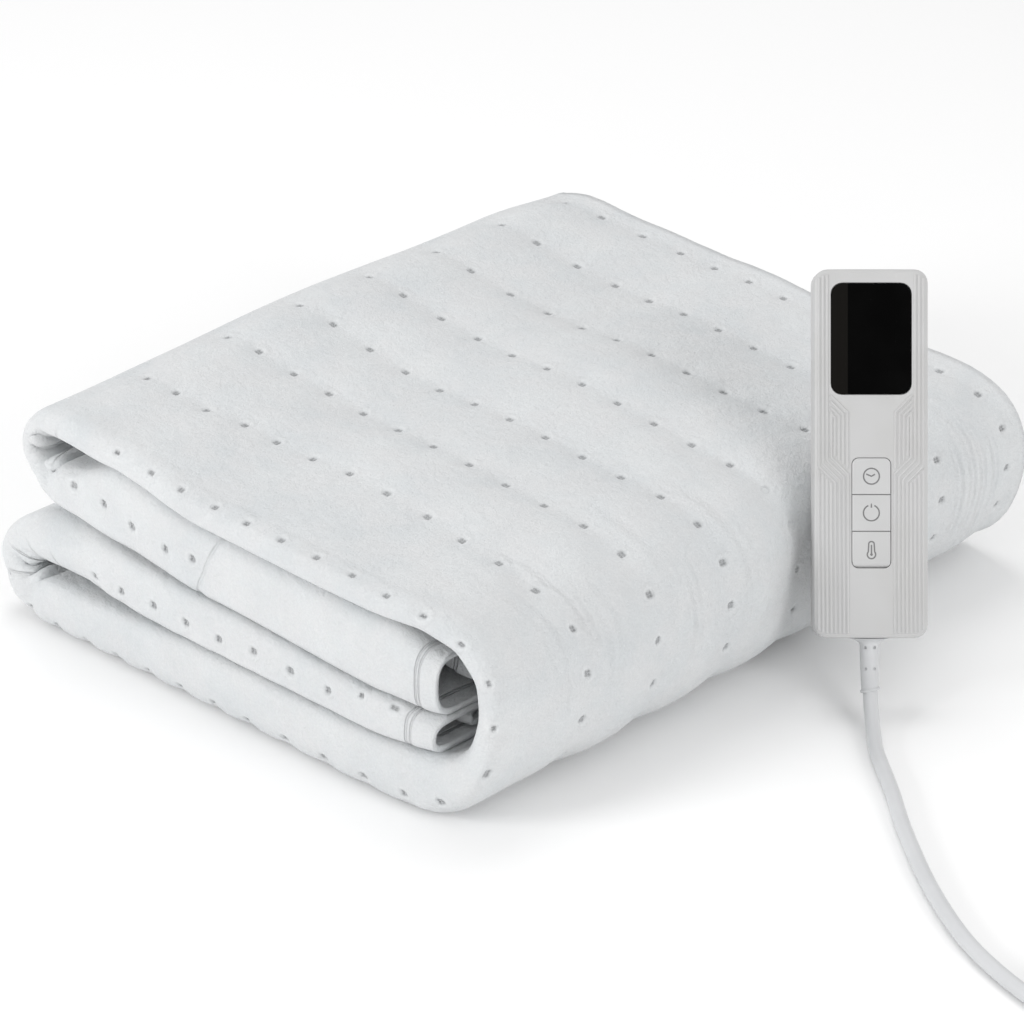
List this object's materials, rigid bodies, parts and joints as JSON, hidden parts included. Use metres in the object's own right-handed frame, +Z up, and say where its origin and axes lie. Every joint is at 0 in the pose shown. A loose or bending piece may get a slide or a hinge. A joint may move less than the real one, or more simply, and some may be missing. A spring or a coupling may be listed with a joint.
{
  "type": "electric heated blanket",
  "caption": "Folded electric under-blanket of spot-bonded white fleece, with a hand controller leaning on it and its mains lead.",
  "frame": {"origin": "centre of the folded blanket's flat underside, on the surface that it lies on", "axes": "+Z up; +X out of the side where the outer fold wraps round the free ends; -Y out of the side where the long creases show"},
  "size_m": [0.6771, 0.3798, 0.1863],
  "materials": {
    "fleece": "matt brushed fleece, spot bonded",
    "housing": "fine satin",
    "buttons": "fine satin with printed symbols",
    "display": "polished black",
    "lead": "smooth matt",
    "ties": "smooth",
    "pins": "nickel plated"
  },
  "bodies": {
    "root": {"blanket": "fleece", "controller_front": "housing", "controller_back": "housing", "display": "display", "strain_relief": "lead", "cord": "lead", "cord_coil": "lead", "cord_tail": "lead", "cord_tie_a": "ties", "cord_tie_b": "ties", "plug_body": "lead", "plug_pin_left": "pins", "plug_pin_right": "pins"},
    "timer_button": {"button_timer": "buttons"},
    "power_button": {"button_power": "buttons"},
    "heat_button": {"button_heat": "buttons"}
  },
  "joints": [
    {"name": "press_timer", "type": "slide", "parent": "root", "child": "timer_button", "axis": [-0.6133, 0.6463, -0.454], "range_m": [0, 0.0008], "stiffness_N_per_m": 400},
    {"name": "press_power", "type": "slide", "parent": "root", "child": "power_button", "axis": [-0.6133, 0.6463, -0.454], "range_m": [0, 0.0008], "stiffness_N_per_m": 400},
    {"name": "press_heat", "type": "slide", "parent": "root", "child": "heat_button", "axis": [-0.6133, 0.6463, -0.454], "range_m": [0, 0.0008], "stiffness_N_per_m": 400}
  ]
}
